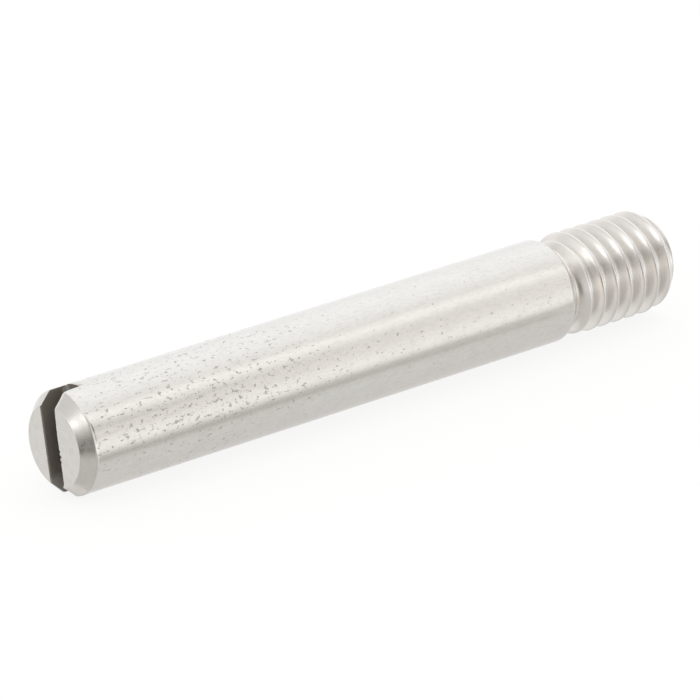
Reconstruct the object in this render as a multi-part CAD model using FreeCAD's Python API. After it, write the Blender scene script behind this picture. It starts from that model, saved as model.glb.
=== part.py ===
# Slotted set screw: a headless steel screw with a sawn driver slot at one end, a long plain
# shank, a rounded shoulder and neck, and a short coarse thread with a chamfered tip.
# It is turned from one bar, so it is one solid. It is drawn standing on the slotted face, as
# it stands in a lathe, with the screw's own axis along Z, and is laid down at the end.
import FreeCAD
import Part

import math
import os

# Driving dimensions, in millimetres and degrees
nominal_diameter = 6.0        # plain shank, and the thread's nominal size
shank_length = 34.58          # slotted face to the wall where the neck starts
thread_length = 7.62          # that wall to the flat of the tip, neck included
thread_pitch = 1.0            # coarse series
thread_angle = 60.0           # between the two flanks of the groove
crest_allowance = 0.03        # how far the crests lie under the shank's surface
neck_relief = 0.015           # how far the neck's floor lies under the thread's root
neck_length = 0.5             # straight floor of the neck
lead_in_length = 0.85         # cone from the neck's floor up to the crests
shoulder_radius = 0.45        # rounding where the shank ends
drive_chamfer_depth = 0.68    # slotted end, measured on the radius
drive_chamfer_length = 0.72   # slotted end, measured along the axis
tip_chamfer_depth = 0.48       # threaded end, measured on the radius
tip_chamfer_length = 0.8     # threaded end, measured along the axis
slot_width = 1.16
slot_depth = 1.85
slot_offset = 0.15            # how far the saw ran beside the axis
slot_lean = 11.5              # turn of the slot from upright as the screw lies
groove_clocking = 317.2       # from the slot to where the groove leaves the tip's face

# Places and radii that follow from them
overall_length = shank_length + thread_length
shank_radius = nominal_diameter / 2
crest_radius = shank_radius - crest_allowance
half_angle = math.radians(thread_angle / 2)
sharp_height = thread_pitch / 2 / math.tan(half_angle)
groove_depth = sharp_height * 17 / 24
crest_flat = thread_pitch / 8
root_radius = crest_radius - groove_depth
neck_radius = root_radius - neck_relief
core_overlap = thread_pitch


def point(radius, height):
    return FreeCAD.Vector(radius, 0, height)


def polyline(points):
    return [Part.LineSegment(a, b).toShape() for a, b in zip(points, points[1:])]


def turned(edges):
    """The solid that a closed outline beside the Z axis sweeps in one turn."""
    face = Part.Face(Part.Wire(edges))
    return face.revolve(FreeCAD.Vector(0, 0, 0), FreeCAD.Vector(0, 0, 1), 360)


def shank_blank():
    """Chamfered slotted end, plain shank and the rounding at its far end."""
    round_start = shank_length - shoulder_radius
    rim_radius = shank_radius - shoulder_radius
    bend = shoulder_radius * math.sqrt(0.5)
    side = polyline([
        point(0, shank_length),
        point(0, 0),
        point(shank_radius - drive_chamfer_depth, 0),
        point(shank_radius, drive_chamfer_length),
        point(shank_radius, round_start),
    ])
    shoulder = Part.Arc(
        point(shank_radius, round_start),
        point(rim_radius + bend, round_start + bend),
        point(rim_radius, shank_length),
    ).toShape()
    end = polyline([point(rim_radius, shank_length), point(0, shank_length)])
    return turned(side + [shoulder] + end)


def thread_blank():
    """Core inside the shank, neck floor, lead-in cone, crests' cylinder and tip chamfer."""
    core_start = shank_length - core_overlap
    cone_start = shank_length + neck_length
    cone_end = cone_start + lead_in_length
    chamfer_start = overall_length - tip_chamfer_length
    return turned(polyline([
        point(0, core_start),
        point(neck_radius, core_start),
        point(neck_radius, cone_start),
        point(crest_radius, cone_end),
        point(crest_radius, chamfer_start),
        point(crest_radius - tip_chamfer_depth, overall_length),
        point(0, overall_length),
        point(0, core_start),
    ]))


def groove_section(middle):
    """One V of the thread with its flat root, in the plane of the axis.

    Its mouth is a little wider than the groove is at the crests, and narrower than a pitch,
    so the turns of the cutter stay apart.
    """
    mouth_radius = crest_radius + thread_pitch / 20
    crest_half = (thread_pitch - crest_flat) / 2
    mouth_half = crest_half + (mouth_radius - crest_radius) * math.tan(half_angle)
    root_half = crest_half - groove_depth * math.tan(half_angle)
    corners = [
        point(mouth_radius, middle - mouth_half),
        point(root_radius, middle - root_half),
        point(root_radius, middle + root_half),
        point(mouth_radius, middle + mouth_half),
    ]
    return Part.Wire(polyline(corners + corners[:1]))


def groove_turn(start):
    """One right-hand turn of the groove, rising from start by a pitch."""
    helix = Part.makeHelix(thread_pitch, thread_pitch, crest_radius)
    helix.translate(FreeCAD.Vector(0, 0, start))
    sweep = Part.BRepOffsetAPI.MakePipeShell(Part.Wire(helix.Edges))
    sweep.setFrenetMode(True)
    sweep.add(groove_section(start))
    sweep.build()
    sweep.makeSolid()
    return sweep.shape()


def threaded_end():
    """The blank with its groove, cut turn by turn from beside the core to beyond the tip."""
    threaded = thread_blank()
    first = shank_length - core_overlap / 2
    turns = math.ceil((overall_length - first) / thread_pitch) + 1
    for turn in range(turns):
        threaded = threaded.cut(groove_turn(first + turn * thread_pitch))
    turns_to_tip = (overall_length - first) / thread_pitch
    clocking = groove_clocking - 360 * turns_to_tip
    threaded.rotate(FreeCAD.Vector(0, 0, 0), FreeCAD.Vector(0, 0, 1), clocking)
    return threaded


def slot_cutter():
    """The saw's path across the slotted face, with its length along X."""
    reach = 2 * nominal_diameter
    saw = Part.makeBox(reach, slot_width, 2 * slot_depth)
    saw.translate(FreeCAD.Vector(-reach / 2, slot_offset - slot_width / 2, -slot_depth))
    return saw


def set_screw():
    return shank_blank().fuse(threaded_end()).cut(slot_cutter())


def laid_down(shape):
    """The screw on its shank along X, tip towards +X, centred over the origin."""
    origin = FreeCAD.Vector(0, 0, 0)
    shape.rotate(origin, FreeCAD.Vector(0, 1, 0), 90)
    shape.rotate(origin, FreeCAD.Vector(1, 0, 0), -slot_lean)
    shape.translate(FreeCAD.Vector(-overall_length / 2, 0, shank_radius))
    return shape


os.makedirs("parts", exist_ok=True)
screw = laid_down(set_screw())
solid = screw.Solids[0]
box = solid.optimalBoundingBox(True)
print("solids", len(screw.Solids), "valid", solid.isValid(), "closed", solid.isClosed())
print("volume mm3 %.2f" % solid.Volume, "faces", len(solid.Faces))
print("box %.3f..%.3f  %.3f..%.3f  %.3f..%.3f" % (
    box.XMin, box.XMax, box.YMin, box.YMax, box.ZMin, box.ZMax))
solid.exportStep("parts/set_screw.step")
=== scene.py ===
"""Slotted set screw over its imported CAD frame, laid out as a Blender add-on and run as a script."""

import math

import bmesh
import bpy
from mathutils import Euler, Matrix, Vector, noise


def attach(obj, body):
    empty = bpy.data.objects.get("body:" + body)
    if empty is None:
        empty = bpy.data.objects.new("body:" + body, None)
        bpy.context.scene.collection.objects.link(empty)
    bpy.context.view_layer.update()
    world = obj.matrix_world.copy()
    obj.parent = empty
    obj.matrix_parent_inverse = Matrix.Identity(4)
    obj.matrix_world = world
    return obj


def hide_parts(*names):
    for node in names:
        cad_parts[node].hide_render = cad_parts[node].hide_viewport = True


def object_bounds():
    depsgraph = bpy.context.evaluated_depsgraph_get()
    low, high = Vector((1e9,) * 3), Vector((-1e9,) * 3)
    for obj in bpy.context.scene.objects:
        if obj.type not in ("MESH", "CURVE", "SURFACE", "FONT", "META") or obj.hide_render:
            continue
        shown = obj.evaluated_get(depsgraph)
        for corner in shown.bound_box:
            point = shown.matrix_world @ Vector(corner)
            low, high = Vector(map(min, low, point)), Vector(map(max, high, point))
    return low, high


bl_info = {
    "name": "Slotted set screw",
    "version": (1, 0, 0),
    "blender": (4, 5, 0),
    "location": "3D View > Sidebar > Set Screw",
    "description": "Turns, threads and slots a steel set screw, and lights it in a small studio",
    "category": "Object",
}

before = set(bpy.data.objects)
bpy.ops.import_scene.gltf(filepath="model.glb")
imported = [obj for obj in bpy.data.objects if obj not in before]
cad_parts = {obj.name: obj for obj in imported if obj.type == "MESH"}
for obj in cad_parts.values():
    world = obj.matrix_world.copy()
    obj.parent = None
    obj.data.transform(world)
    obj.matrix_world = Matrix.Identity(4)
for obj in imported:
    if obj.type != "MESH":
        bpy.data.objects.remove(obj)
CAD_LOW, CAD_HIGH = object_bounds()
MM = 0.001

# Zones of the surface, one for each way that the real one was made
SHANK, TURNED_END, SAW_SLOT, THREAD = range(4)
FINISH_NAMES = ("Shank finish", "Turned end finish", "Slot finish", "Thread finish")

# Roundings that the cutting tools leave
EDGE_BREAK = 0.06 * MM             # rims of both end faces, and the neck's corner at the wall
CHAMFER_BLEND = 0.26 * MM          # from the slotted end's chamfer to the shank
NECK_BLEND = 0.12 * MM             # from the neck's floor to the lead-in
LEAD_IN_BLEND = 0.5 * MM           # from the lead-in to the crests
TIP_BLEND = 0.1 * MM               # from the crests to the tip's chamfer
SAW_CORNER = 0.12 * MM             # between a slot wall and the slot's floor
SLOT_EDGE = 0.05 * MM              # between a slot wall and the shank's surface
GRINDING_LAP = 0.06 * MM           # how far the shank's finish reaches onto the chamfer

# Wear of the slot's rims: how far it reaches down the walls, and its size and place along the
# rim. Places are heights above the screw's axis.
TEAR_REACH, TEAR_SPACING = 0.09 * MM, 0.16 * MM
WORN_FROM, WORN_SPAN = 0.6 * MM, 1.4 * MM          # where the near rim gets rounder
NICK_SPACING = 0.15 * MM
NICKS_AT, NICKS_SPREAD = -0.65 * MM, 0.5 * MM
BURR_AT, BURR_SPREAD, BURR_REACH = -2.3 * MM, 0.14 * MM, 0.2 * MM
CORNER_WEAR_AT, CORNER_WEAR_SPREAD = 0.25 * MM, 0.7 * MM    # along, from the slotted face
BRIGHT_REACH, BRIGHT_FACES = 0.5 * MM, 6           # clean wall beside the near lower corner

# Fineness of the mesh
SHANK_STEP = 1.6 * MM              # along the plain shank
THREAD_STEP = 0.0325 * MM          # along the neck and the thread
SLOT_STEP, SLOT_SLICES = 0.1 * MM, 16    # along the slot, down to its last 0.35 mm
BEND_STEPS = 5                     # round a small rounding
ARC_STEPS = {1: 108, -1: 116}      # outer arcs of the two halves beside the slot
CORNER_STEPS = 7                   # rounded edge between an outer arc and a slot wall
WALL_STEPS = 90                    # along a slot wall
MOUTH_STEPS = 16                   # arc across the slot's open end

# Studio
FLOOR_HALF = 6.0                   # half the floor's width, in metres
LAMP_DISTANCE = 0.35               # soft boxes from the screw, in metres
MIDDLE = Vector((0.0, 0.0, 3 * MM))      # of the screw
CAMERA_PLACE = Vector((-213.93128, -265.82923, 150.87059)) * MM
PLAIN_SHARE = 0.86                 # plain white in what the camera sees of the floor


def linear(code):
    """An sRGB hex colour as the linear RGBA that Blender works in."""
    parts = [int(code[i:i + 2], 16) / 255 for i in (1, 3, 5)]
    return [c / 12.92 if c <= 0.04045 else ((c + 0.055) / 1.055) ** 2.4 for c in parts] + [1.0]


def size(name, millimetres, description):
    """A setting for a length."""
    return bpy.props.FloatProperty(
        name=name, description=description, default=millimetres * MM, min=0.0,
        unit="LENGTH", subtype="DISTANCE", precision=5)


def turn(name, degrees, description):
    """A setting for an angle."""
    return bpy.props.FloatProperty(
        name=name, description=description, default=math.radians(degrees),
        unit="ROTATION", subtype="ANGLE")


def colour(name, code, description):
    """A setting for a colour."""
    return bpy.props.FloatVectorProperty(
        name=name, description=description, default=linear(code), size=4,
        min=0.0, max=1.0, subtype="COLOR")


def share(name, value, description, high=1.0):
    """A setting for an amount."""
    return bpy.props.FloatProperty(
        name=name, description=description, default=value, min=0.0, max=high, subtype="FACTOR")


class ScrewSizes(bpy.types.PropertyGroup):
    """Sizes of the screw, which the CAD frame has too, and of its wear, which it hasn't."""

    length: size("Length", (CAD_HIGH.x - CAD_LOW.x) / MM, "Slotted face to the flat of the tip")
    diameter: size("Diameter", 6.0, "Plain shank, and the thread's nominal size")
    shank_length: size("Shank length", 34.58, "Slotted face to the wall where the neck starts")
    shoulder_round: size("Shoulder rounding", 0.45, "Rounding where the shank ends")
    drive_chamfer_depth: size("Drive chamfer depth", 0.68, "Slotted end, on the radius")
    drive_chamfer_length: size("Drive chamfer length", 0.72, "Slotted end, along the axis")
    tip_chamfer_depth: size("Tip chamfer depth", 0.48, "Threaded end, on the radius")
    tip_chamfer_length: size("Tip chamfer length", 0.8, "Threaded end, along the axis")
    neck_length: size("Neck length", 0.5, "Straight floor of the neck")
    neck_radius: size("Neck radius", 2.3416, "Radius of the neck's floor")
    lead_in_length: size("Lead-in length", 0.85, "Cone from the neck's floor to the crests")
    crest_radius: size("Crest radius", 2.97, "Radius over the thread's crests")
    pitch: size("Pitch", 1.0, "Advance of the thread in one turn")
    groove_depth: size("Groove depth", 0.6134, "Crest to root, on the radius")
    groove_angle: turn("Groove angle", 60.0, "Between the two flanks of the groove")
    clocking: turn("Clocking", 227.2, "Where the groove leaves the tip, from across the slot")
    root_round: size("Root softness", 0.2, "How softly the groove's root is rounded")
    crest_round: size("Crest softness", 0.27, "How softly the crests are rounded")
    slot_width: size("Slot width", 1.16, "Between the two sawn walls")
    slot_depth: size("Slot depth", 1.85, "Slotted face to the slot's floor")
    slot_offset: size("Slot offset", 0.15, "How far the saw ran beside the axis")
    slot_lean: turn("Slot lean", 11.5, "Turn of the slot from upright as the screw lies")
    far_rim: size("Far rim", 0.08, "Rounding of the slot's far rim, which drivers have worn")
    near_rim: size("Near rim", 0.045, "Rounding of the slot's near rim where it is crisp")
    worn_rim: size("Worn rim", 0.16, "Rounding of the near rim at its upper end, where it is worn")
    worn_corner: size("Worn corner", 0.3, "Rounding of the near half's upper corner")
    tear: size("Tear", 0.02, "How far the rims wander, as the saw tore them")
    chip: size("Chip", 0.16, "Depth of the nicks in the middle of the near rim")
    burr: size("Burr", 0.13, "How far the saw rolled the near rim over at its lower end")


class ScrewFinish(bpy.types.PropertyGroup):
    """Colours and amounts of the screw's finish."""

    steel: colour("Steel", "#D2D1CE", "Bare stainless steel")
    dull: colour("Dull steel", "#BFBDBA", "Steel under a thin film of dirt")
    thread: colour("Thread steel", "#DFDDDA", "Rolled steel of the thread, which is a little paler")
    soil: colour("Soil", "#7A7068", "Dry soil in the small pits")
    # Dark brown of oily dirt, made darker still as painted shade of the slot's recess
    slot_soil_and_shade: colour("Slot soil", "#69625B", "Oily dirt on the slot's walls")
    # Brown that the thread's roots take a little of, and the neck more of as painted shade of the
    # neck groove
    thread_brown_and_neck_shade: colour("Thread soil", "#A89A8C", "Thin brown film in the thread's roots")
    speck_amount: share("Specks", 1.0, "How many pits hold soil where they lie closest")


class StudioSizes(bpy.types.PropertyGroup):
    """Camera, light and floor."""

    azimuth: turn("Camera azimuth", -38.7363, "Round the screw from in front of it")
    elevation: turn("Camera elevation", 23.439, "Above the horizon")
    lens: bpy.props.FloatProperty(
        name="Lens", description="Focal length for a sensor 36 mm wide", default=344.0443,
        min=1.0, unit="CAMERA")
    key_light: share("Key light", 2.0, "Radiance of the soft boxes beside the slotted end", 10.0)
    surround: share("Surround", 1.5, "Radiance of the white tent where it is brightest", 10.0)
    floor: colour("Floor", "#F7F7F6", "Pale floor that the screw lies on")


def fillet(before, corner, after, radius, steps):
    """Points of the arc that rounds one corner of an outline."""
    u, v = (before - corner).normalized(), (after - corner).normalized()
    half = u.angle(v) / 2
    middle = corner + (u + v).normalized() * (radius / math.sin(half))
    reach = radius / math.tan(half)
    first, last = corner + u * reach - middle, corner + v * reach - middle
    return [middle + first.slerp(last, k / steps).normalized() * radius for k in range(steps + 1)]


def outline(sizes):
    """The turned profile from the slotted face's rim to the tip's rim: (along, radius) pairs."""
    radius, length, wall = sizes.diameter / 2, sizes.length, sizes.shank_length
    cone = wall + sizes.neck_length
    corners = [
        (0, 0, 0),
        (0, radius - sizes.drive_chamfer_depth, EDGE_BREAK),
        (sizes.drive_chamfer_length, radius, CHAMFER_BLEND),
        (wall, radius, sizes.shoulder_round),
        (wall, sizes.neck_radius, EDGE_BREAK),
        (cone, sizes.neck_radius, NECK_BLEND),
        (cone + sizes.lead_in_length, sizes.crest_radius, LEAD_IN_BLEND),
        (length - sizes.tip_chamfer_length, sizes.crest_radius, TIP_BLEND),
        (length, sizes.crest_radius - sizes.tip_chamfer_depth, EDGE_BREAK),
        (length, 0, 0),
    ]
    points = [Vector((s, r, 0)) for s, r, _ in corners]
    rounded = []
    for i in range(1, len(corners) - 1):
        bend = corners[i][2]
        steps = 2 * BEND_STEPS if bend > CHAMFER_BLEND else BEND_STEPS
        rounded += fillet(points[i - 1], points[i], points[i + 1], bend, steps)
    return rounded


def divided(points, sizes):
    """The outline with points added: far apart on the plain shank, close together on the thread."""
    filled = points[:1]
    for a, b in zip(points, points[1:]):
        gap = THREAD_STEP if a.x > sizes.shank_length - 1e-7 else SHANK_STEP
        count = max(1, math.ceil((b - a).length / gap))
        filled += [a.lerp(b, k / count) for k in range(1, count + 1)]
    return filled


def radius_at(points, along):
    """Radius of the turned profile at a distance from the slotted face."""
    for a, b in zip(points, points[1:]):
        if a.x <= along <= b.x and b.x > a.x:
            return a.y + (b.y - a.y) * (along - a.x) / (b.x - a.x)
    return points[0].y


def bell(value, middle, half_width):
    """1 at the middle, and falling smoothly to nearly 0 at twice the half width from it."""
    return math.exp(-((value - middle) / half_width) ** 2)


def rounded_off(distance, radius):
    """How far a quarter-round of this radius lies behind its corner, at a distance from it."""
    if distance >= radius:
        return 0.0
    return radius - math.sqrt(max(0.0, radius ** 2 - (radius - distance) ** 2))


def wall_place(sizes, side, along, up):
    """Distance of a slot wall from the plane through the axis, with its worn rim and its corner.

    The near rim, on side -1, is worn round at its upper end, has nicks below the axis, and is
    rolled over by the saw at its lower end.
    """
    rim = sizes.far_rim
    if side < 0:
        worn = min(1.0, max(0.0, (up - WORN_FROM) / WORN_SPAN))
        rim = sizes.near_rim + (sizes.worn_rim - sizes.near_rim) * worn
    place = sizes.slot_width / 2 + side * sizes.slot_offset + rounded_off(along, rim)
    place -= rounded_off(sizes.slot_depth - along, SAW_CORNER)
    fade = math.exp(-along / TEAR_REACH)
    place += sizes.tear * fade * noise.noise(Vector((up / TEAR_SPACING, side * 7.0, 0)))
    if side < 0:
        nick = noise.noise(Vector((up / NICK_SPACING, 3.0, 0)))
        place += sizes.chip * fade * max(0.0, nick) * 2 * bell(up, NICKS_AT, NICKS_SPREAD)
        place -= sizes.burr * math.exp(-along / BURR_REACH) * bell(up, BURR_AT, BURR_SPREAD)
    return place


def half_section(sizes, side, along, radius):
    """One slice of the metal beside the slot, as (across, up) points: arc, corner, wall, corner.

    It is made for the far half, and turned round for the near one, so that a top there is
    a bottom here. The near half's upper corner is worn.
    """
    low = high = SLOT_EDGE
    if side < 0:
        worn = bell(along, CORNER_WEAR_AT, CORNER_WEAR_SPREAD)
        low = 2 * SLOT_EDGE + sizes.worn_corner * worn
        high = 0.8 * SLOT_EDGE
    place = sizes.slot_width / 2 + side * sizes.slot_offset
    spread, top = math.acos(place / radius), math.sqrt(radius ** 2 - place ** 2)
    first, last = low / radius - spread, spread - high / radius
    steps = ARC_STEPS[side]
    arc = [
        (radius * math.cos(a), radius * math.sin(a))
        for a in (first + (last - first) * k / steps for k in range(steps + 1))]
    wall = []
    for k in range(WALL_STEPS + 1):
        up = (top - high) + (low + high - 2 * top) * k / WALL_STEPS
        wall.append((wall_place(sizes, side, along, up * side), up))
    tips = [Vector((p[0], s * math.sqrt(radius ** 2 - p[0] ** 2))) for p, s in
            ((wall[0], 1), (wall[-1], -1))]
    turns = []
    for a, b, c in ((arc[-1], tips[0], wall[0]), (wall[-1], tips[1], arc[0])):
        a, c = Vector(a), Vector(c)
        turns.append([tuple(a * (1 - t) ** 2 + b * 2 * t * (1 - t) + c * t ** 2)
                      for t in (k / CORNER_STEPS for k in range(1, CORNER_STEPS))])
    loop = arc + turns[0] + wall + turns[1]
    return [(side * across, side * up) for across, up in loop]


def blank_mesh(sizes):
    """The turned and slotted screw before its thread is rolled, as one closed mesh."""
    made = bmesh.new()
    lean, height, start = sizes.slot_lean, sizes.diameter / 2, -sizes.length / 2
    zone = made.faces.layers.int.new("finish_zone")

    def vertex(along, across, up):
        y = across * math.cos(lean) + up * math.sin(lean)
        z = up * math.cos(lean) - across * math.sin(lean)
        return made.verts.new((start + along, y, height + z))

    def bridge(a, b, zones):
        for i, which in enumerate(zones):
            j = (i + 1) % len(a)
            made.faces.new((a[i], a[j], b[j], b[i]))[zone] = which

    points = divided(outline(sizes), sizes)
    depth, edge = sizes.slot_depth, sizes.drive_chamfer_length - GRINDING_LAP

    # Distances from the slotted face where the two halves beside the slot are sliced
    rims = [rim * k / BEND_STEPS for rim in (sizes.near_rim, sizes.worn_rim)
            for k in range(1, BEND_STEPS + 1)]
    floor = [depth - SAW_CORNER * (1 - math.sin(math.pi / 2 * k / BEND_STEPS))
             for k in range(BEND_STEPS + 1)]
    spaced = [SLOT_STEP * k for k in range(SLOT_SLICES)]
    turned = [p.x for p in points if p.x < depth]
    levels = sorted({round(s, 8) for s in rims + floor + spaced + turned})
    levels = [s for i, s in enumerate(levels) if i == 0 or s - levels[i - 1] > 0.003 * MM]
    levels[-1] = depth

    last = {}
    for side in (1, -1):
        rows = [
            [vertex(s, *p) for p in half_section(sizes, side, s, radius_at(points, s))]
            for s in levels]
        made.faces.new(rows[0])[zone] = TURNED_END
        for s, a, b in zip(levels, rows, rows[1:]):
            outside = TURNED_END if s < edge else SHANK
            wall = TURNED_END if side < 0 and s < 0.6 * sizes.near_rim else SAW_SLOT
            corner = [outside] * CORNER_STEPS
            bright = [outside if side < 0 and s < BRIGHT_REACH else wall] * BRIGHT_FACES
            bridge(a, b, [outside] * ARC_STEPS[side] + corner + bright
                   + [wall] * (WALL_STEPS - BRIGHT_FACES) + corner)
        last[side] = rows[-1]

    def mouth(a, b):
        """The vertices between two on the outer circle, across the slot's open end."""
        flat = [math.atan2(v.co.z - height, v.co.y) for v in (a, b)]
        sweep = (flat[1] - flat[0] + math.pi) % (2 * math.pi) - math.pi
        found = []
        for k in range(1, MOUTH_STEPS):
            angle = flat[0] + sweep * k / MOUTH_STEPS
            found.append(made.verts.new((
                start + depth, height * math.cos(angle), height + height * math.sin(angle))))
        return found

    left, right = ARC_STEPS[1], ARC_STEPS[-1]
    top = mouth(last[1][left], last[-1][0])
    bottom = mouth(last[-1][right], last[1][0])
    ring = last[1][:left + 1] + top + last[-1][:right + 1] + bottom
    floor_edge = (top + [last[-1][0]] + last[-1][:right:-1] + [last[-1][right]]
                  + bottom + [last[1][0]] + last[1][:left:-1] + [last[1][left]])
    made.faces.new(floor_edge)[zone] = SAW_SLOT

    angles = [math.atan2(v.co.z - height, v.co.y) for v in ring]
    for p in [q for q in points if q.x > depth + 0.01 * MM]:
        row = [
            made.verts.new((start + p.x, p.y * math.cos(a), height + p.y * math.sin(a)))
            for a in angles]
        which = THREAD if p.x > sizes.shank_length + 0.001 * MM else SHANK
        bridge(ring, row, [which] * len(ring))
        ring = row
    made.faces.new(ring)[zone] = THREAD

    bmesh.ops.recalc_face_normals(made, faces=made.faces)
    for face in made.faces:
        face.smooth = len(face.verts) == 4
    mesh = bpy.data.meshes.new("turned_blank")
    made.to_mesh(mesh)
    made.free()
    return mesh


def add(tree, kind, inputs=(), stops=(), **settings):
    """Adds one node with its settings, its inputs and a ramp's stops.

    Inputs go by number or name, and each is a plain value, a socket, or a node whose first
    output is meant.
    """
    node = tree.nodes.new(kind)
    for name, value in settings.items():
        setattr(node, name, value)
    for key, value in inputs.items() if isinstance(inputs, dict) else enumerate(inputs):
        if isinstance(value, bpy.types.Node):
            value = value.outputs[0]
        if isinstance(value, bpy.types.NodeSocket):
            tree.links.new(value, node.inputs[key])
        else:
            node.inputs[key].default_value = value
    for i, (place, tone) in enumerate(stops):
        elements = node.color_ramp.elements
        element = elements[i] if i < len(elements) else elements.new(1.0)
        element.position = place
        element.color = linear(tone) if isinstance(tone, str) else (tone, tone, tone, 1.0)
    return node


def thread_tree():
    """Geometry nodes that roll a right-hand thread into a blank and give each zone its finish."""
    tree = bpy.data.node_groups.new("Rolled thread", "GeometryNodeTree")
    tree.interface.new_socket("Geometry", in_out="OUTPUT", socket_type="NodeSocketGeometry")
    for kind, names in (
            ("NodeSocketGeometry", ("Geometry",)),
            ("NodeSocketFloat", (
                "Axis height", "Length", "Start", "Pitch", "Crest radius", "Groove depth",
                "Groove angle", "Clocking", "Slot lean", "Root softness", "Crest softness")),
            ("NodeSocketMaterial", FINISH_NAMES)):
        for name in names:
            tree.interface.new_socket(name, in_out="INPUT", socket_type=kind)
    given = tree.nodes.new("NodeGroupInput").outputs

    place = add(tree, "GeometryNodeInputPosition")
    axis = add(tree, "ShaderNodeCombineXYZ", {"Z": given["Axis height"]})
    centred = add(tree, "ShaderNodeVectorMath", (place, axis), operation="SUBTRACT")
    upright = add(tree, "ShaderNodeVectorRotate", {"Vector": centred, "Angle": given["Slot lean"]},
                  rotation_type="X_AXIS")
    x, y, z = add(tree, "ShaderNodeSeparateXYZ", (upright,)).outputs
    angle = add(tree, "ShaderNodeMath", (z, y), operation="ARCTAN2")
    across = add(tree, "ShaderNodeVectorMath", (centred, (0.0, 1.0, 1.0)), operation="MULTIPLY")
    radius = add(tree, "ShaderNodeVectorMath", (across,), operation="LENGTH").outputs["Value"]
    along = add(tree, "ShaderNodeMath", (given["Length"], 0.5, x), operation="MULTIPLY_ADD")

    # Distance along the axis from the middle of the nearest turn of the groove
    ahead = add(tree, "ShaderNodeMath", (angle, given["Clocking"]), operation="SUBTRACT")
    turns = add(tree, "ShaderNodeMath", (ahead, 2 * math.pi), operation="DIVIDE")
    climb = add(tree, "ShaderNodeMath", (turns, given["Pitch"]), operation="MULTIPLY")
    from_tip = add(tree, "ShaderNodeMath", (along, given["Length"]), operation="SUBTRACT")
    lag = add(tree, "ShaderNodeMath", (from_tip, climb), operation="SUBTRACT")
    half_pitch = add(tree, "ShaderNodeMath", (given["Pitch"], 0.5), operation="MULTIPLY")
    beside = add(tree, "ShaderNodeMath", (lag, half_pitch), operation="PINGPONG")

    # The V's two flanks rise from a soft root to crests an eighth of a pitch wide
    half_angle = add(tree, "ShaderNodeMath", (given["Groove angle"], 0.5), operation="MULTIPLY")
    steep = add(tree, "ShaderNodeMath", (half_angle,), operation="TANGENT")
    crest_edge = add(tree, "ShaderNodeMath", (given["Pitch"], 7 / 16), operation="MULTIPLY")
    inward = add(tree, "ShaderNodeMath", (beside, crest_edge), operation="SUBTRACT")
    rise = add(tree, "ShaderNodeMath", (inward, steep), operation="DIVIDE")
    flank = add(tree, "ShaderNodeMath", (rise, given["Crest radius"]), operation="ADD")
    root = add(tree, "ShaderNodeMath", (given["Crest radius"], given["Groove depth"]),
               operation="SUBTRACT")
    groove = add(tree, "ShaderNodeMath", (flank, root, given["Root softness"]),
                 operation="SMOOTH_MAX")
    shaped = add(tree, "ShaderNodeMath", (radius, groove, given["Crest softness"]),
                 operation="SMOOTH_MIN")
    ratio = add(tree, "ShaderNodeMath", (shaped, radius), operation="DIVIDE")
    shrink = add(tree, "ShaderNodeMath", (ratio, 1.0), operation="SUBTRACT")
    offset = add(tree, "ShaderNodeVectorMath", {0: across, "Scale": shrink}, operation="SCALE")
    beyond = add(tree, "FunctionNodeCompare", (along, given["Start"]), operation="GREATER_THAN")
    rolled = add(tree, "GeometryNodeSetPosition", {
        "Geometry": given["Geometry"], "Selection": beyond, "Offset": offset})

    result = add(tree, "GeometryNodeRealizeInstances", (rolled,))
    zone = add(tree, "GeometryNodeInputNamedAttribute", {"Name": "finish_zone"}, data_type="INT")
    for number, name in enumerate(FINISH_NAMES):
        same = add(tree, "FunctionNodeCompare", {2: zone, 3: number}, data_type="INT",
                   operation="EQUAL")
        result = add(tree, "GeometryNodeSetMaterial", {
            "Geometry": result, "Selection": same, "Material": given[name]})
    add(tree, "NodeGroupOutput", (result,))
    return tree


def new_material(name):
    """A material with an empty node tree."""
    material = bpy.data.materials.new(name)
    material.use_nodes = True
    material.node_tree.nodes.clear()
    return material, material.node_tree


def places(tree, sizes):
    """Coordinates on the screw, from its Object coordinates.

    They are the place from the middle of the slotted face, the distance along from that face,
    the way round on the shank's surface, upward from straight in front, and the radius.
    """
    corner = add(tree, "ShaderNodeTexCoord").outputs["Object"]
    centred = add(tree, "ShaderNodeMapping", {
        0: corner, "Location": (sizes.length / 2, 0.0, -sizes.diameter / 2)})
    x, y, z = add(tree, "ShaderNodeSeparateXYZ", (centred,)).outputs
    forward = add(tree, "ShaderNodeMath", (y, -1.0), operation="MULTIPLY")
    angle = add(tree, "ShaderNodeMath", (z, forward), operation="ARCTAN2")
    way = add(tree, "ShaderNodeMath", (angle, sizes.diameter / 2), operation="MULTIPLY")
    flat = add(tree, "ShaderNodeVectorMath", (centred, (0.0, 1.0, 1.0)), operation="MULTIPLY")
    radius = add(tree, "ShaderNodeVectorMath", (flat,), operation="LENGTH").outputs["Value"]
    return centred.outputs[0], x, way.outputs[0], radius


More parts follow.
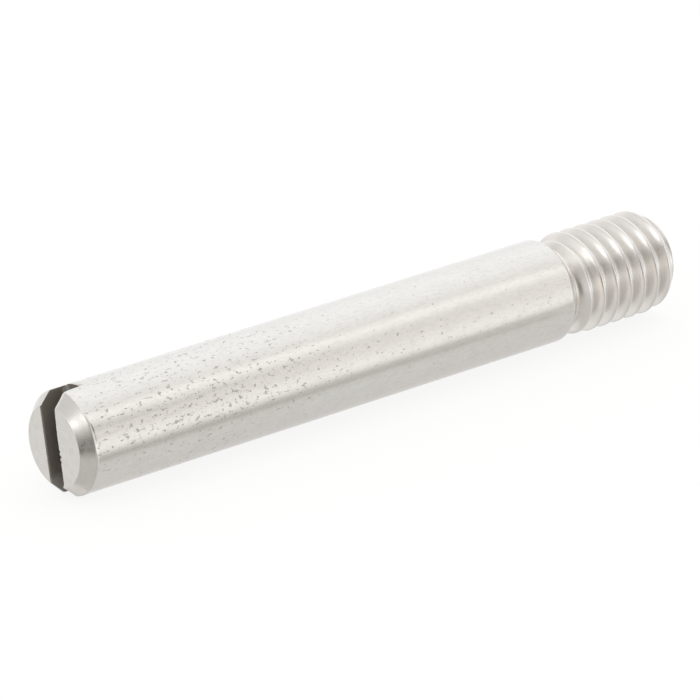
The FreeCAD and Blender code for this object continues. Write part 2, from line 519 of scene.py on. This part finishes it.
def soiled_pits(tree, sizes, finish, along, way):
    """Strength, from 0 to 1, of the soil in small pits, which are longer along the screw.

    They lie thickest 5 to 15 mm from the slotted face, on the side that faces forward, and
    only a few lie near the thread.
    """
    crowd_along = add(tree, "ShaderNodeValToRGB", (
        add(tree, "ShaderNodeMath", (along, sizes.length), operation="DIVIDE"),), stops=[
            (0.0, 0.3), (0.1, 0.65), (0.2, 1.0), (0.27, 0.7), (0.34, 0.5), (0.4, 0.22),
            (0.46, 0.12), (0.7, 0.1), (0.8, 0.08), (1.0, 0.01)])
    crowd_round = add(tree, "ShaderNodeValToRGB", (
        add(tree, "ShaderNodeMapRange", (way, -math.pi * sizes.diameter / 2,
                                         math.pi * sizes.diameter / 2)),), stops=[
            (0.0, 0.1), (0.44, 0.25), (0.485, 0.5), (0.505, 1.1), (0.545, 1.5), (0.58, 0.8),
            (0.66, 0.75), (0.8, 0.45), (1.0, 0.1)])
    crowd = add(tree, "ShaderNodeMath", (crowd_along, crowd_round), operation="MULTIPLY")
    flat = add(tree, "ShaderNodeCombineXYZ", (along, way))
    clumps = add(tree, "ShaderNodeTexNoise", {
        "Vector": flat, "Scale": 1 / (1.4 * MM), "Detail": 1.0}, noise_dimensions="2D")
    group = add(tree, "ShaderNodeMapRange", (clumps, 0.3, 0.65, 0.6, 1.4))
    chance = add(tree, "ShaderNodeMath", (crowd, group), operation="MULTIPLY")
    density = add(tree, "ShaderNodeMath", (chance, finish.speck_amount), operation="MULTIPLY")

    # A pit is where fine noise rises over a level. The level falls by the logarithm of the
    # density, at the rate that makes the pits' share of the surface follow it.
    drawn = add(tree, "ShaderNodeMapping", {0: flat, "Scale": (0.6, 1.0, 1.0)})
    rise = add(tree, "ShaderNodeTexNoise", {
        "Vector": drawn, "Scale": 1 / (0.22 * MM), "Detail": 2.0, "Roughness": 0.7},
        noise_dimensions="2D")
    crowding = add(tree, "ShaderNodeMath", (density, math.e), operation="LOGARITHM")
    level = add(tree, "ShaderNodeMath", (crowding, -0.044, 0.589), operation="MULTIPLY_ADD")
    over = add(tree, "ShaderNodeMath", (rise, level), operation="SUBTRACT")
    return add(tree, "ShaderNodeMapRange", (over, 0.0, 0.08, 0.0, 0.52)).outputs[0]


def ground_steel(sizes, finish):
    """Ground stainless steel of the shank.

    Grinding leaves it nearly a mirror, with soft-edged bands of the surround along it. Fine
    marks and a slight waviness break the bands' edges, a film of dirt dulls it in places,
    and dry soil in its pits shows as small grey-brown specks.
    """
    material, tree = new_material("Ground stainless steel")
    place, along, way, _ = places(tree, sizes)
    film = add(tree, "ShaderNodeTexNoise", {
        "Vector": place, "Scale": 1 / (1.1 * MM), "Detail": 3.0})
    haze = add(tree, "ShaderNodeMapRange", (film, 0.4, 0.75, 0.0, 0.2))
    bare = add(tree, "ShaderNodeMix", {0: haze, 6: finish.steel, 7: finish.dull}, data_type="RGBA")
    # Dull flecks, about 0.15 mm wide and 0.4 mm long
    drawn = add(tree, "ShaderNodeMapping", {0: place, "Scale": (0.4, 1.0, 1.0)})
    flecks = add(tree, "ShaderNodeTexNoise", {
        "Vector": drawn, "Scale": 1 / (0.15 * MM), "Detail": 3.0})
    flecked = add(tree, "ShaderNodeMapRange", (flecks, 0.45, 0.8, 0.0, 0.45))
    rubbed = add(tree, "ShaderNodeMix", {0: flecked, 6: bare.outputs[2], 7: finish.dull},
                 data_type="RGBA")
    pits = soiled_pits(tree, sizes, finish, along, way)
    base = add(tree, "ShaderNodeMix", {0: pits, 6: rubbed.outputs[2], 7: finish.soil},
               data_type="RGBA")
    grain = add(tree, "ShaderNodeTexNoise", {
        "Vector": place, "Scale": 1 / (0.12 * MM), "Detail": 2.0})
    satin = add(tree, "ShaderNodeMapRange", (grain, 0.3, 0.7, 0.13, 0.19))
    rough = add(tree, "ShaderNodeMapRange", (pits, 0.0, 1.0, satin, 0.55))
    metallic = add(tree, "ShaderNodeMapRange", (pits, 0.0, 1.0, 1.0, 0.3))

    # Grinding marks round the screw, waviness about 1.2 mm long, and the pits
    fine = add(tree, "ShaderNodeMapping", {0: place, "Scale": (1.0, 0.06, 0.06)})
    marks = add(tree, "ShaderNodeTexNoise", {
        "Vector": fine, "Scale": 1 / (0.16 * MM), "Detail": 2.0})
    wavy = add(tree, "ShaderNodeMapping", {0: place, "Scale": (0.5, 1.0, 1.0)})
    waves = add(tree, "ShaderNodeTexNoise", {
        "Vector": wavy, "Scale": 1 / (0.6 * MM), "Detail": 3.0})
    bumps = add(tree, "ShaderNodeBump", {
        "Strength": 0.25, "Distance": 0.004 * MM, "Height": marks})
    bumps = add(tree, "ShaderNodeBump", {
        "Strength": 0.4, "Distance": 0.012 * MM, "Height": waves, "Normal": bumps})
    bumps = add(tree, "ShaderNodeBump", {
        "Strength": 0.4, "Distance": 0.012 * MM, "Height": pits, "Normal": bumps}, invert=True)
    shader = add(tree, "ShaderNodeBsdfPrincipled", {
        "Base Color": base.outputs[2], "Roughness": rough, "Metallic": metallic, "Normal": bumps})
    add(tree, "ShaderNodeOutputMaterial", (shader,))
    return material


def turned_steel(sizes, finish):
    """Turned stainless steel of the slotted end's face and chamfer.

    The lathe tool leaves rings a fraction of a millimetre apart, so it is duller than the
    shank: reflections are soft and spread across the rings.
    """
    material, tree = new_material("Turned stainless steel")
    place, along, _, radius = places(tree, sizes)
    stain = add(tree, "ShaderNodeTexNoise", {
        "Vector": place, "Scale": 1 / (0.45 * MM), "Detail": 4.0, "Roughness": 0.6})
    haze = add(tree, "ShaderNodeMapRange", (stain, 0.42, 0.72, 0.0, 0.35))
    base = add(tree, "ShaderNodeMix", {0: haze, 6: finish.steel, 7: finish.dull}, data_type="RGBA")
    rough = add(tree, "ShaderNodeMapRange", (stain, 0.3, 0.7, 0.23, 0.33))
    turned = add(tree, "ShaderNodeCombineXYZ", (along, radius))
    rings = add(tree, "ShaderNodeTexNoise", {
        "Vector": turned, "Scale": 1 / (0.06 * MM), "Detail": 2.0}, noise_dimensions="2D")
    bumps = add(tree, "ShaderNodeBump", {
        "Strength": 0.3, "Distance": 0.006 * MM, "Height": rings})
    dents = add(tree, "ShaderNodeBump", {
        "Strength": 0.25, "Distance": 0.005 * MM, "Height": stain, "Normal": bumps})
    shader = add(tree, "ShaderNodeBsdfPrincipled", {
        "Base Color": base.outputs[2], "Roughness": rough, "Metallic": 1.0, "Normal": dents})
    add(tree, "ShaderNodeOutputMaterial", (shader,))
    return material


def sawn_steel(sizes, finish):
    """Sawn stainless steel of the slot, under old oil and dirt.

    The dirt hides most of the metal, and the slot's dull dark brown is partly that dirt and
    partly painted shade of the recess. Towards the slot's lower end grey steel colour is mixed in
    as a painted reflection of the light there, one spot at its upper end is paler, and where the
    crust is thin at random, grey metal shows through.
    """
    material, tree = new_material("Saw slot with soil and painted shade")
    place = places(tree, sizes)[0]
    crust = add(tree, "ShaderNodeTexNoise", {
        "Vector": place, "Scale": 1 / (0.3 * MM), "Detail": 4.0, "Roughness": 0.6})
    z = add(tree, "ShaderNodeSeparateXYZ", (place,)).outputs["Z"]
    # Painted reflection: towards the slot's lower end, grey steel colour is mixed in for the light
    # from the slot's lower opening
    ragged = add(tree, "ShaderNodeMath", (crust, 0.9 * MM, z), operation="MULTIPLY_ADD")
    lower_end_painted_light = add(tree, "ShaderNodeMapRange", (ragged, -1.3 * MM, -1.75 * MM, 0.0, 0.2),
                   interpolation_type="SMOOTHSTEP")
    # A paler spot on one wall near the slot's upper end
    to_spot = add(tree, "ShaderNodeVectorMath", (place, (1.8 * MM, 1.2 * MM, 2.42 * MM)),
                  operation="DISTANCE").outputs["Value"]
    pale_spot = add(tree, "ShaderNodeMapRange", (to_spot, 0.2 * MM, 0.34 * MM, 0.35, 0.0),
                    interpolation_type="SMOOTHSTEP")
    # worn here holds the painted light of the lower end and the paler spot, and bare adds the thin
    # crust to it
    worn = add(tree, "ShaderNodeMath", (lower_end_painted_light, pale_spot), operation="MAXIMUM")
    thin = add(tree, "ShaderNodeMapRange", (crust, 0.6, 0.75, 0.03, 0.12))
    bare = add(tree, "ShaderNodeMath", (worn, thin), operation="ADD")
    # The slot's colour is partly oily dirt and partly painted shade of the recess
    base = add(tree, "ShaderNodeMix", {0: bare, 6: finish.slot_soil_and_shade, 7: finish.steel},
               data_type="RGBA")
    rough = add(tree, "ShaderNodeMapRange", (crust, 0.3, 0.7, 0.42, 0.6))
    bumps = add(tree, "ShaderNodeBump", {
        "Strength": 0.5, "Distance": 0.02 * MM, "Height": crust})
    shader = add(tree, "ShaderNodeBsdfPrincipled", {
        "Base Color": base.outputs[2], "Roughness": rough, "Metallic": 0.1, "Normal": bumps})
    add(tree, "ShaderNodeOutputMaterial", (shader,))
    return material


def rolled_steel(sizes, finish):
    """Rolled stainless steel of the thread and the tip.

    Rolling dies leave a satin surface without marks, so its lights and darks run into each
    other. Its colour turns a little browner towards the roots, and browner still in the neck,
    where the brown is painted shade of the neck groove.
    """
    material, tree = new_material("Rolled stainless thread")
    place, along, _, radius = places(tree, sizes)
    film = add(tree, "ShaderNodeTexNoise", {
        "Vector": place, "Scale": 1 / (0.5 * MM), "Detail": 3.0})
    # A little browner towards the roots
    deep = add(tree, "ShaderNodeMapRange", (radius, 2.4 * MM, 2.85 * MM, 0.05, 0.0),
               interpolation_type="SMOOTHSTEP")
    # Painted shade: the neck is browner, for the shade in the neck groove
    neck = add(tree, "ShaderNodeMapRange", (
        along, sizes.shank_length + 0.5 * MM, sizes.shank_length + 1.0 * MM, 0.2, 0.0),
        interpolation_type="SMOOTHSTEP")
    both = add(tree, "ShaderNodeMath", (deep, neck), operation="ADD")
    patchy = add(tree, "ShaderNodeMapRange", (film, 0.3, 0.7, 0.5, 1.2))
    # soil here is the roots' browning and the neck's painted shade, varied at random
    soil = add(tree, "ShaderNodeMath", (both, patchy), operation="MULTIPLY")
    base = add(tree, "ShaderNodeMix", {0: soil, 6: finish.thread, 7: finish.thread_brown_and_neck_shade},
               data_type="RGBA")
    rough = add(tree, "ShaderNodeMapRange", (film, 0.3, 0.7, 0.27, 0.33))
    bumps = add(tree, "ShaderNodeBump", {
        "Strength": 0.25, "Distance": 0.008 * MM, "Height": film})
    shader = add(tree, "ShaderNodeBsdfPrincipled", {
        "Base Color": base.outputs[2], "Roughness": rough, "Metallic": 1.0, "Normal": bumps})
    add(tree, "ShaderNodeOutputMaterial", (shader,))
    return material


class SETSCREW_OT_make(bpy.types.Operator):
    """Make the screw: turned blank with its saw slot, rolled thread and four finishes"""

    bl_idname = "set_screw.make"
    bl_label = "Make the screw"

    def execute(self, context):
        sizes, finish = context.scene.screw_sizes, context.scene.screw_finish
        screw = bpy.data.objects.new("turned_screw", blank_mesh(sizes))
        context.scene.collection.objects.link(screw)
        finishes = [make(sizes, finish) for make in (
            ground_steel, turned_steel, sawn_steel, rolled_steel)]
        screw.data.materials.append(finishes[SHANK])
        values = {
            "Axis height": sizes.diameter / 2, "Length": sizes.length,
            "Start": sizes.shank_length + 0.01 * MM, "Pitch": sizes.pitch,
            "Crest radius": sizes.crest_radius, "Groove depth": sizes.groove_depth,
            "Groove angle": sizes.groove_angle, "Clocking": sizes.clocking,
            "Slot lean": sizes.slot_lean, "Root softness": sizes.root_round,
            "Crest softness": sizes.crest_round, **dict(zip(FINISH_NAMES, finishes)),
        }
        roll = screw.modifiers.new("Thread rolling", "NODES")
        roll.node_group = thread_tree()
        for item in roll.node_group.interface.items_tree:
            if item.name in values:
                roll[item.identifier] = values[item.name]
        context.view_layer.update()
        done = screw.evaluated_get(context.evaluated_depsgraph_get())
        mesh = bpy.data.meshes.new_from_object(done)
        screw.modifiers.remove(roll)
        screw.data = mesh
        if len(mesh.materials) != len(FINISH_NAMES) or not mesh.polygons:
            raise RuntimeError("the thread's nodes gave no mesh with four finishes")
        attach(screw, "root")
        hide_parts("set_screw")
        return {"FINISHED"}


def tent(world, studio):
    """The white tent: what the camera sees is plain white, and what the steel mirrors is the tent.

    Directions go by azimuth, from the front towards the tip, and elevation. The tent is open
    round the camera, and the room behind the camera is dark.
    """
    world.use_nodes = True
    tree = world.node_tree
    tree.nodes.clear()
    towards = add(tree, "ShaderNodeTexCoord").outputs["Generated"]
    x, y, z = add(tree, "ShaderNodeSeparateXYZ", (towards,)).outputs
    front = add(tree, "ShaderNodeMath", (y, -1.0), operation="MULTIPLY")
    per_turn = 1 / (2 * math.pi)
    degree = math.pi / 180

    # Beyond the tip: by the angle round the screw, the floor, the gap under the front wall, that
    # wall, the bright seam above it, and the roof
    round_screw = add(tree, "ShaderNodeMath", (z, front), operation="ARCTAN2")
    beyond = add(tree, "ShaderNodeValToRGB", (
        add(tree, "ShaderNodeMath", (round_screw, per_turn, 0.5), operation="MULTIPLY_ADD"),),
        stops=[((angle + 180) / 360, tone) for angle, tone in (
            (-180, "#E4E4E4"), (-150, "#DADADA"), (-128, "#C4C2C0"), (-80, "#CBC9C7"),
            (-50, "#CECDCB"), (-37, "#CCCAC7"), (-28, "#A8A4A0"), (-21, "#C5C1BE"),
            (-14, "#E6E3E0"), (-5, "#F3F1EE"), (29, "#E6E2DF"), (48, "#E9E6E3"),
            (63, "#FDFAF7"), (77, "#E7E5E3"), (100, "#F1F1F1"), (130, "#F6F6F6"),
            (150, "#F0F0F0"), (170, "#E6E6E6"), (180, "#E4E4E4"))])
    # Before the slotted end: floor, wall and roof, by elevation
    height = add(tree, "ShaderNodeMath", (z,), operation="ARCSINE")
    before = add(tree, "ShaderNodeValToRGB", (
        add(tree, "ShaderNodeMath", (height, 2 * per_turn, 0.5), operation="MULTIPLY_ADD"),),
        stops=[((angle + 90) / 180, tone) for angle, tone in (
            (-6, "#BBB8B5"), (1, "#DDDAD8"), (22, "#E9E7E6"), (34, "#D0CDCC"), (50, "#CBC9C7"),
            (62, "#DDDCDA"), (76, "#F1F1F0"))])
    side = add(tree, "ShaderNodeMapRange", (x, -0.15, 0.3), interpolation_type="SMOOTHSTEP")
    seen = add(tree, "ShaderNodeMix", {0: side, 6: before, 7: beyond}, data_type="RGBA").outputs[2]

    # Cards and openings with soft edges: azimuth, elevation, half width, half height, softness
    azimuth = add(tree, "ShaderNodeMath", (x, front), operation="ARCTAN2")
    for middle, level, wide, high, soft, tone in (
            (-150, -40, 60, 38, 0.2, "#D8D6D4"),     # pale floor behind the slotted end
            (-97, -50, 16, 9, 0.5, "#C8C5C2"),       # that floor in the screw's shade
            (-85, -28, 26, 14, 0.4, "#D6D1CC"),      # floor beside it
            (-80, -9, 22, 7, 0.4, "#FFF5E8"),        # warm light from that floor's edge
            (-83, 6, 14, 8, 0.5, "#2E2924"),         # gap above the floor's edge
            (-92, 32, 7, 6, 0.5, "#FFFFFF"),         # wall between the soft boxes
            (-74, 57, 14, 7, 0.4, "#FBFAF9"),        # roof over the soft box
            (25, 37, 13, 11, 0.4, "#332E29"),        # gap above the front wall
            (18, 19, 13, 7, 0.5, "#A09A94"),         # that wall's shaded upper edge
            (-50, 18, 13, 32, 0.3, "#948F8A"),       # opening for the camera
            (-52.5, 0, 8, 15, 0.3, "#38332F"),       # dark room beside the camera
            (0, -1, 28, 12, 0.3, "#FFFFFF"),         # bright foot of the front wall
            (15, -25, 14, 14, 0.5, "#DAD7D4"),       # floor in front
            (-137, 20, 14, 8, 0.5, "#CAC8C6"),       # left end of the back wall
            (160, 70, 40, 7, 0.4, "#FFFFFF"),        # roof at the back
            (57.5, -21, 19, 6, 0.12, "#CFCCC8"),     # right end of the gap under the front wall
            (98, 2, 28, 26, 0.3, "#E4E2E0"),         # end wall beyond the tip
            (74, 0, 14, 14, 0.4, "#B8B5B2")):        # its shaded edge
        off = add(tree, "ShaderNodeMath", (azimuth, -middle * degree), operation="ADD")
        across = add(tree, "ShaderNodeMath", (off, wide * degree), operation="DIVIDE")
        lift = add(tree, "ShaderNodeMath", (height, -level * degree), operation="ADD")
        upward = add(tree, "ShaderNodeMath", (lift, high * degree), operation="DIVIDE")
        place = add(tree, "ShaderNodeCombineXYZ", (across, upward))
        distance = add(tree, "ShaderNodeVectorMath", (place,), operation="LENGTH").outputs["Value"]
        cover = add(tree, "ShaderNodeMapRange", (distance, 1 - soft, 1 + soft, 1.0, 0.0),
                    interpolation_type="SMOOTHSTEP")
        seen = add(tree, "ShaderNodeMix", {0: cover, 6: seen, 7: linear(tone)},
                   data_type="RGBA").outputs[2]
    light = add(tree, "ShaderNodeBackground", {0: seen, "Strength": studio.surround})
    plain = add(tree, "ShaderNodeBackground", {"Color": (1.0, 1.0, 1.0, 1.0), "Strength": 1.0})
    ray = add(tree, "ShaderNodeLightPath").outputs["Is Camera Ray"]
    both = add(tree, "ShaderNodeMixShader", (ray, light, plain))
    add(tree, "ShaderNodeOutputWorld", (both,))


def laminate(studio):
    """Matt white laminate under the screw.

    It is even and has no gloss, so the eye sees white with a faint soft shadow. The camera
    sees most of it as plain white, as in an overexposed background.
    """
    material, tree = new_material("Matt white laminate")
    matt = add(tree, "ShaderNodeBsdfDiffuse", {"Color": studio.floor})
    plain = add(tree, "ShaderNodeEmission", {"Color": (1.0, 1.0, 1.0, 1.0), "Strength": 1.0})
    ray = add(tree, "ShaderNodeLightPath").outputs["Is Camera Ray"]
    amount = add(tree, "ShaderNodeMath", (ray, PLAIN_SHARE), operation="MULTIPLY")
    both = add(tree, "ShaderNodeMixShader", (amount, matt, plain))
    add(tree, "ShaderNodeOutputMaterial", (both,))
    return material


class SETSCREW_OT_studio(bpy.types.Operator):
    """Make the studio: pale floor, white tent, two soft boxes and camera"""

    bl_idname = "set_screw.studio"
    bl_label = "Make the studio"

    def execute(self, context):
        studio, scene = context.scene.studio_sizes, context.scene
        mesh = bpy.data.meshes.new("floor")
        corners = [(x * FLOOR_HALF, y * FLOOR_HALF, 0)
                   for x, y in ((-1, -1), (1, -1), (1, 1), (-1, 1))]
        mesh.from_pydata(corners, [], [(0, 1, 2, 3)])
        mesh.materials.append(laminate(studio))
        floor = bpy.data.objects.new("floor", mesh)
        scene.collection.objects.link(floor)
        floor.visible_glossy = False

        scene.world = bpy.data.worlds.new("White tent")
        tent(scene.world, studio)

        # Two soft boxes to the left of the slotted end, with azimuth and elevation in degrees,
        # width, depth, and radiance as a share of the key light
        for name, towards, upward, width, depth, level in (
                ("soft_box", -75, 37, 0.15, 0.065, 0.56),
                ("low_soft_box", -88, 24, 0.085, 0.07, 1.3)):
            lamp = bpy.data.lights.new(name, "AREA")
            lamp.shape = "RECTANGLE"
            lamp.size, lamp.size_y = width, depth
            lamp.energy = studio.key_light * level * math.pi * width * depth
            lamp.color = linear("#FFFCF8")[:3]
            box = bpy.data.objects.new(name, lamp)
            side, rise = math.radians(towards), math.radians(upward)
            way = Vector((math.sin(side) * math.cos(rise), -math.cos(side) * math.cos(rise),
                          math.sin(rise)))
            box.location = way * LAMP_DISTANCE + MIDDLE
            box.rotation_mode = "QUATERNION"
            box.rotation_quaternion = way.to_track_quat("Z", "Y")
            scene.collection.objects.link(box)

        # The camera of the photograph, fitted to the screw's outline
        camera = bpy.data.cameras.new("camera")
        camera.sensor_width, camera.lens = 36.0, studio.lens
        camera.clip_start, camera.clip_end = 0.01, 50.0
        eye = bpy.data.objects.new("camera", camera)
        eye.location = CAMERA_PLACE
        eye.rotation_euler = Euler((math.pi / 2 - studio.elevation, 0.0, studio.azimuth), "XYZ")
        scene.collection.objects.link(eye)
        scene.camera = eye
        scene.view_settings.view_transform = "Standard"
        return {"FINISHED"}


class SETSCREW_PT_panel(bpy.types.Panel):
    """Sizes, finish and studio of the set screw"""

    bl_idname = "SETSCREW_PT_panel"
    bl_label = "Set Screw"
    bl_space_type = "VIEW_3D"
    bl_region_type = "UI"
    bl_category = "Set Screw"

    def draw(self, context):
        scene = context.scene
        for group in (scene.screw_sizes, scene.screw_finish, scene.studio_sizes):
            box = self.layout.box()
            for name in group.__annotations__:
                box.prop(group, name)
        self.layout.operator(SETSCREW_OT_make.bl_idname)
        self.layout.operator(SETSCREW_OT_studio.bl_idname)


CLASSES = (ScrewSizes, ScrewFinish, StudioSizes, SETSCREW_OT_make, SETSCREW_OT_studio,
           SETSCREW_PT_panel)
GROUPS = {"screw_sizes": ScrewSizes, "screw_finish": ScrewFinish, "studio_sizes": StudioSizes}


def register():
    for made in CLASSES:
        bpy.utils.register_class(made)
    for name, group in GROUPS.items():
        setattr(bpy.types.Scene, name, bpy.props.PointerProperty(type=group))


def unregister():
    for name in GROUPS:
        delattr(bpy.types.Scene, name)
    for made in reversed(CLASSES):
        bpy.utils.unregister_class(made)


def main():
    register()
    bpy.ops.set_screw.make()
    bpy.ops.set_screw.studio()


if __name__ == "__main__":
    main()
